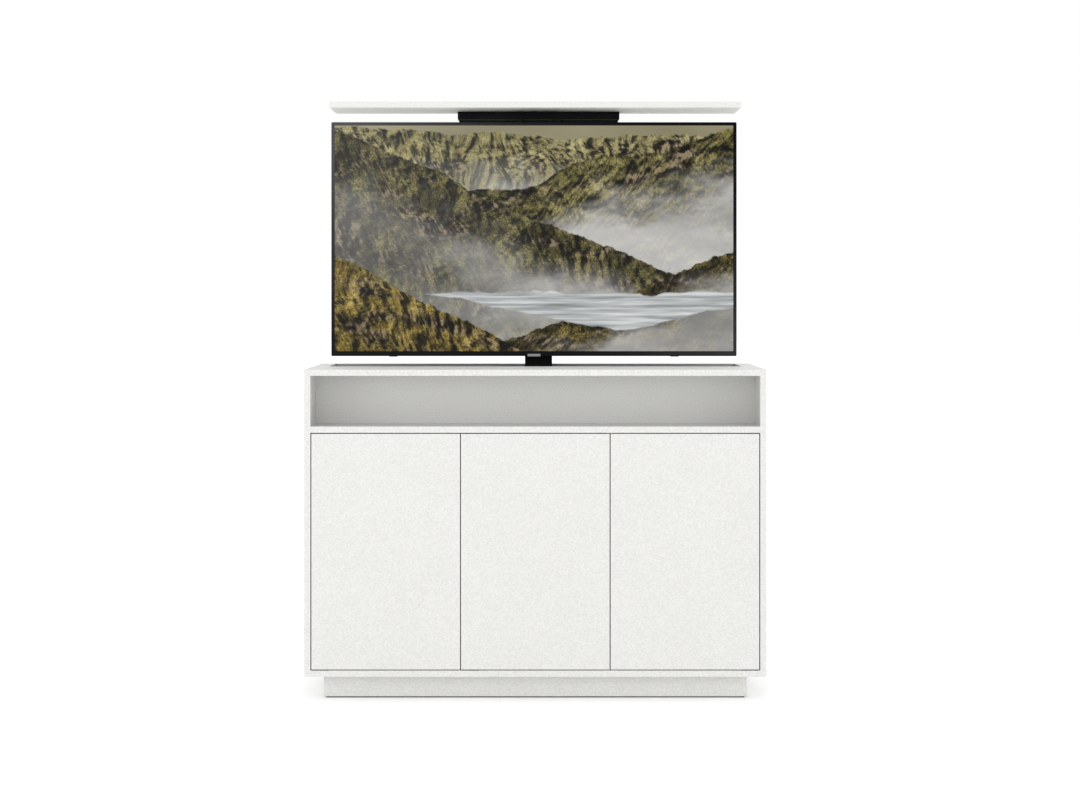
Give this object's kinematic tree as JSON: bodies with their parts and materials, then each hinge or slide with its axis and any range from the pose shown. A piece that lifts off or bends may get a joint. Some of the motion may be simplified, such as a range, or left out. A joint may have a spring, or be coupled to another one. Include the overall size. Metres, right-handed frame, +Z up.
{
  "type": "tv lift cabinet",
  "caption": "Floor cabinet with inset doors and an open niche, and a motor-driven telescopic lift that raises a flat TV and a lid panel through a slot in its top.",
  "frame": {"origin": "on the floor under the middle of the case, with the lift raised", "axes": "+Z up, +X to the right seen from the front, and the doors face -Y"},
  "size_m": [1.34, 0.5, 1.76],
  "materials": {
    "white_board": "satin white lacquer with a fine speckle",
    "black_steel": "matt black powder coat",
    "zinc_steel": "zinc plated",
    "sheet_steel": "plain sheet",
    "nickel_hinge": "nickel plated",
    "black_plastic": "fine texture",
    "grey_plastic": "moulded",
    "pale_plastic": "moulded acetal",
    "black_rubber": "reinforced belt",
    "motor_steel": "semi-matt",
    "cast_grey": "die cast",
    "gloss_black": "gloss",
    "screen": "smooth, lit from behind",
    "badge": "silver, blank",
    "board_green": "circuit board"
  },
  "bodies": {
    "cabinet": {"left_side_panel": "white_board", "right_side_panel": "white_board", "top_panel": "white_board", "bottom_panel": "white_board", "divider_panel": "white_board", "niche_back_panel": "white_board", "partitions": "white_board", "bay_front_panel": "white_board", "back_panel": "white_board", "cable_grommet": "black_plastic", "case_screws": "zinc_steel", "plinth_front": "white_board", "plinth_frame": "white_board", "foot_glides": "black_plastic", "shelves": "white_board", "shelf_pins": "zinc_steel", "case_hinge_leaves": "nickel_hinge", "latch_bodies": "grey_plastic", "lift_base_plate": "black_steel", "column_anchor": "black_steel", "drive_case": "cast_grey", "drive_case_cover": "cast_grey", "drive_belt": "black_rubber", "lift_motor": "motor_steel", "control_box": "black_plastic", "power_inlet": "black_plastic", "outer_column": "black_steel", "outer_collar": "black_plastic"},
    "left_door": {"left_door": "white_board", "left_door_hinge_leaves": "nickel_hinge"},
    "center_door": {"center_door": "white_board", "center_door_hinge_leaves": "nickel_hinge"},
    "right_door": {"right_door": "white_board", "right_door_hinge_leaves": "nickel_hinge"},
    "left_plunger": {"left_latch_plunger": "pale_plastic"},
    "center_plunger": {"center_latch_plunger": "pale_plastic"},
    "right_plunger": {"right_latch_plunger": "pale_plastic"},
    "lead_screw": {"spindle": "zinc_steel"},
    "motor_drive": {"motor_pulley": "sheet_steel"},
    "middle_stage": {"middle_column": "black_steel", "middle_collar": "black_plastic", "middle_glide": "pale_plastic", "spindle_nut": "pale_plastic", "sync_belt": "black_rubber"},
    "lower_roller": {"lower_sync_pulley": "pale_plastic"},
    "upper_roller": {"upper_sync_pulley": "pale_plastic"},
    "raised_stage": {"inner_column": "black_steel", "inner_glide": "pale_plastic", "head_frame": "black_steel", "lid_bracket": "black_steel", "lid": "white_board", "tv_rails": "black_steel", "tv_arms": "black_steel", "head_fasteners": "zinc_steel", "tv_bezel": "gloss_black", "tv_screen": "screen", "tv_chassis": "sheet_steel", "tv_nameplate": "badge", "tv_back_cover": "black_plastic", "tv_electronics": "board_green"}
  },
  "joints": [
    {"name": "middle_slide", "type": "slide", "parent": "cabinet", "child": "middle_stage", "axis": [0, 0, 1], "range_m": [-0.4, 0]},
    {"name": "upper_slide", "type": "slide", "parent": "middle_stage", "child": "raised_stage", "axis": [0, 0, 1], "range_m": [-0.4, 0]},
    {"name": "spindle_spin", "type": "hinge", "parent": "cabinet", "child": "lead_screw", "pos_m": [0.01, 0.1825, 0.15], "axis": [0, 0, 1], "continuous": true},
    {"name": "motor_spin", "type": "hinge", "parent": "cabinet", "child": "motor_drive", "pos_m": [0.115, 0.1825, 0.11], "axis": [0, 0, 1], "continuous": true},
    {"name": "lower_roller_spin", "type": "hinge", "parent": "middle_stage", "child": "lower_roller", "pos_m": [0.01, 0.21425, 0.563], "axis": [1, 0, 0], "continuous": true},
    {"name": "upper_roller_spin", "type": "hinge", "parent": "middle_stage", "child": "upper_roller", "pos_m": [0.01, 0.21425, 1.247], "axis": [1, 0, 0], "continuous": true},
    {"name": "left_door_hinge", "type": "hinge", "parent": "cabinet", "child": "left_door", "pos_m": [-0.639, -0.243, 0.4325], "axis": [0, 0, -1], "range_deg": [0, 105]},
    {"name": "center_door_hinge", "type": "hinge", "parent": "cabinet", "child": "center_door", "pos_m": [-0.20533, -0.243, 0.4325], "axis": [0, 0, -1], "range_deg": [0, 105]},
    {"name": "right_door_hinge", "type": "hinge", "parent": "cabinet", "child": "right_door", "pos_m": [0.639, -0.243, 0.4325], "axis": [0, 0, 1], "range_deg": [0, 105]},
    {"name": "left_plunger_slide", "type": "slide", "parent": "cabinet", "child": "left_plunger", "axis": [0, 1, 0], "range_m": [0, 0.003], "stiffness_N_per_m": 300, "springref_m": -0.005},
    {"name": "center_plunger_slide", "type": "slide", "parent": "cabinet", "child": "center_plunger", "axis": [0, 1, 0], "range_m": [0, 0.003], "stiffness_N_per_m": 300, "springref_m": -0.005},
    {"name": "right_plunger_slide", "type": "slide", "parent": "cabinet", "child": "right_plunger", "axis": [0, 1, 0], "range_m": [0, 0.003], "stiffness_N_per_m": 300, "springref_m": -0.005}
  ],
  "couplings": [
    {"joint": "upper_slide", "follows": "middle_slide", "ratio": 1},
    {"joint": "spindle_spin", "follows": "middle_slide", "rad_per_m": -785.4},
    {"joint": "motor_spin", "follows": "middle_slide", "rad_per_m": -1570.8},
    {"joint": "lower_roller_spin", "follows": "middle_slide", "rad_per_m": -129.03},
    {"joint": "upper_roller_spin", "follows": "middle_slide", "rad_per_m": -129.03}
  ]
}
